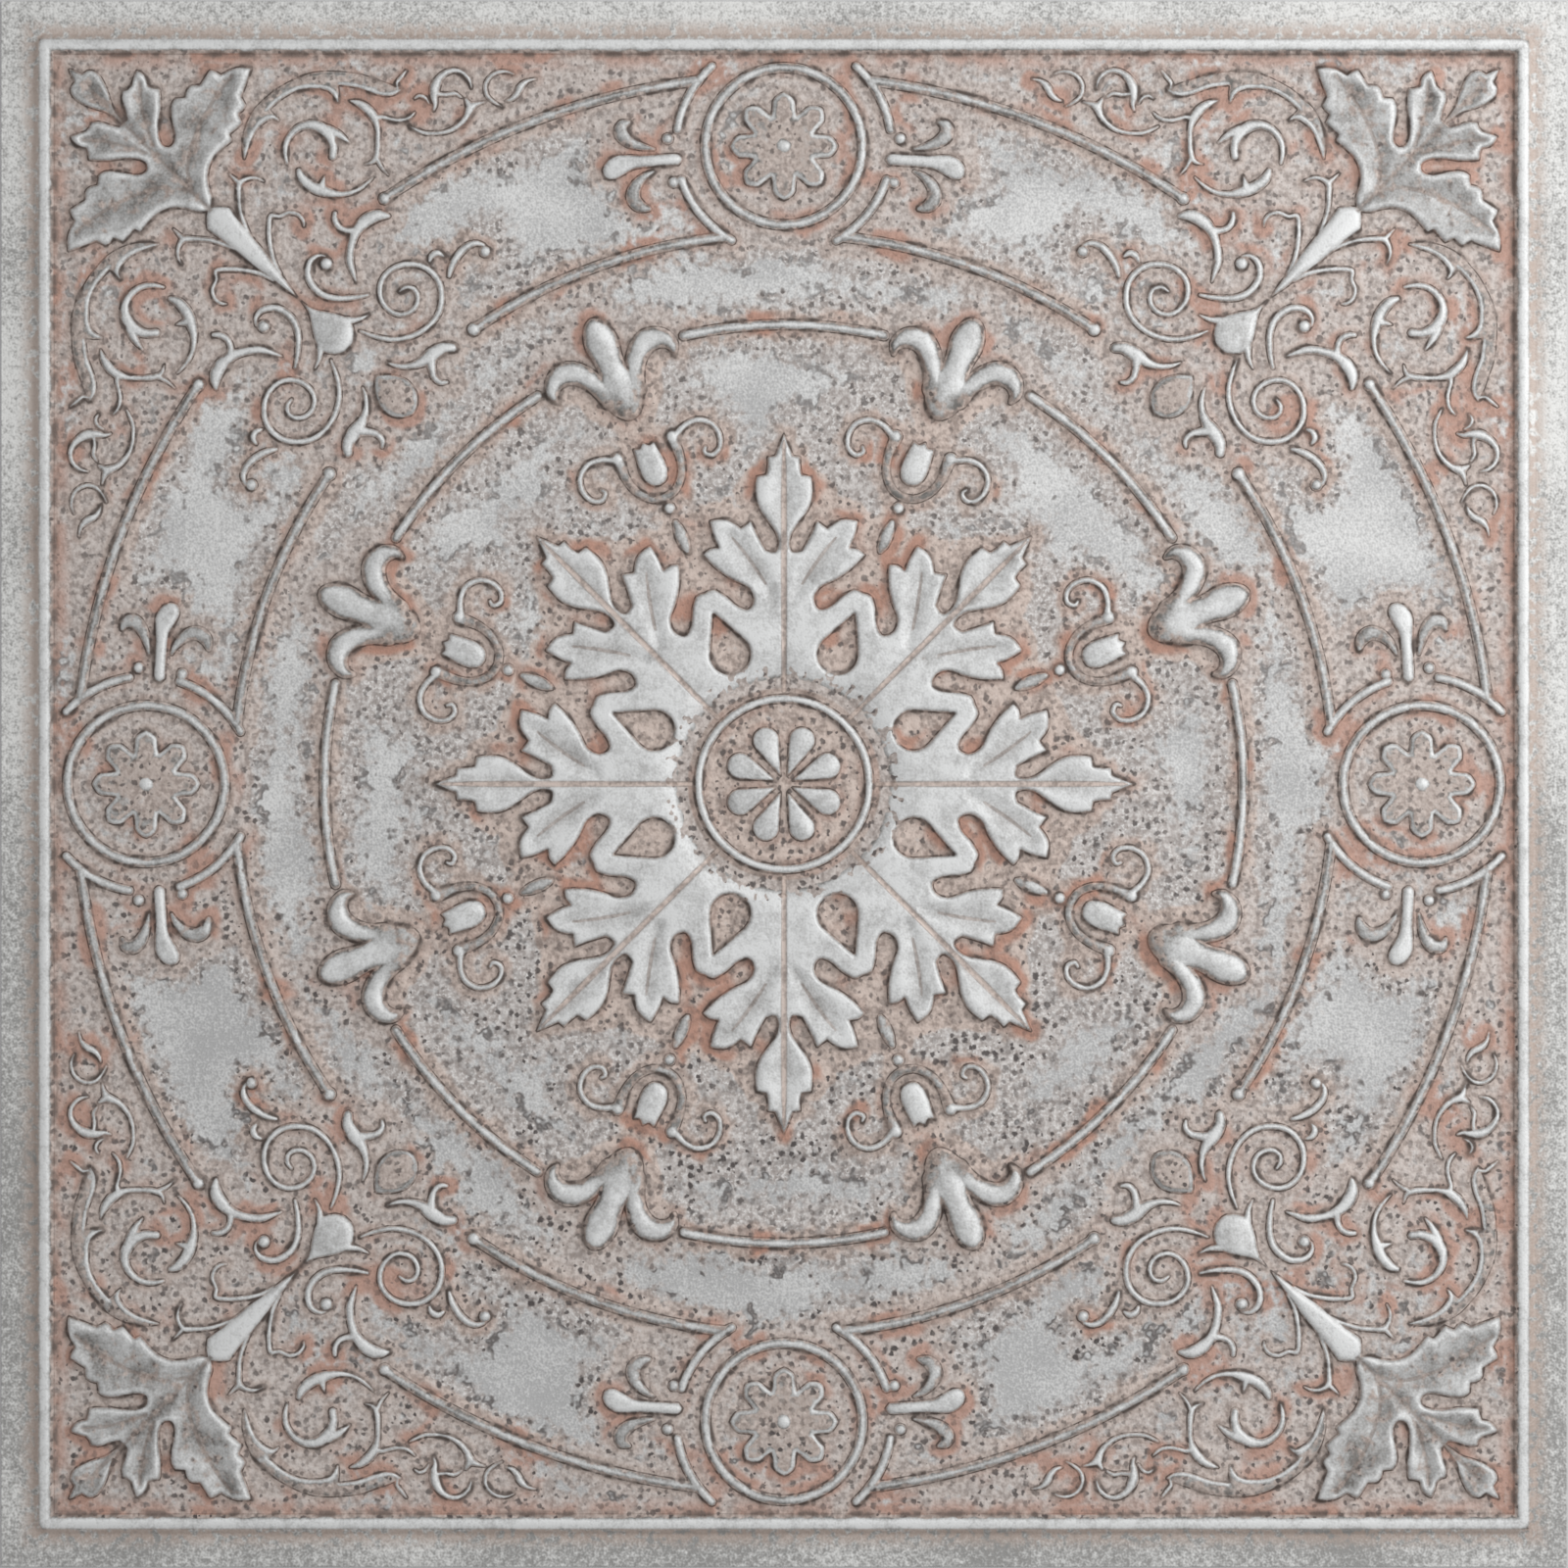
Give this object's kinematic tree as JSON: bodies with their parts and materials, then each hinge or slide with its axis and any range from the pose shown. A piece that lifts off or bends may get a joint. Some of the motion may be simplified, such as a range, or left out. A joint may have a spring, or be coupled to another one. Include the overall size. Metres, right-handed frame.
{
  "type": "ceiling tile",
  "caption": "Square embossed ceiling tile in thin sheet: flat flange, border bead, broken rings, ringed flowers and a leaf rosette, laid in a ceiling grid or glued up.",
  "frame": {"origin": "centre of the tile at the back of its flat sheet", "axes": "+Z out of the ornamented face, +X and +Y along the sides"},
  "size_m": [0.603, 0.603, 0.0054],
  "materials": {
    "antique_finish": "antique silver over copper, satin"
  },
  "bodies": {
    "root": {"ceiling_tile": "antique_finish"}
  },
  "joints": []
}
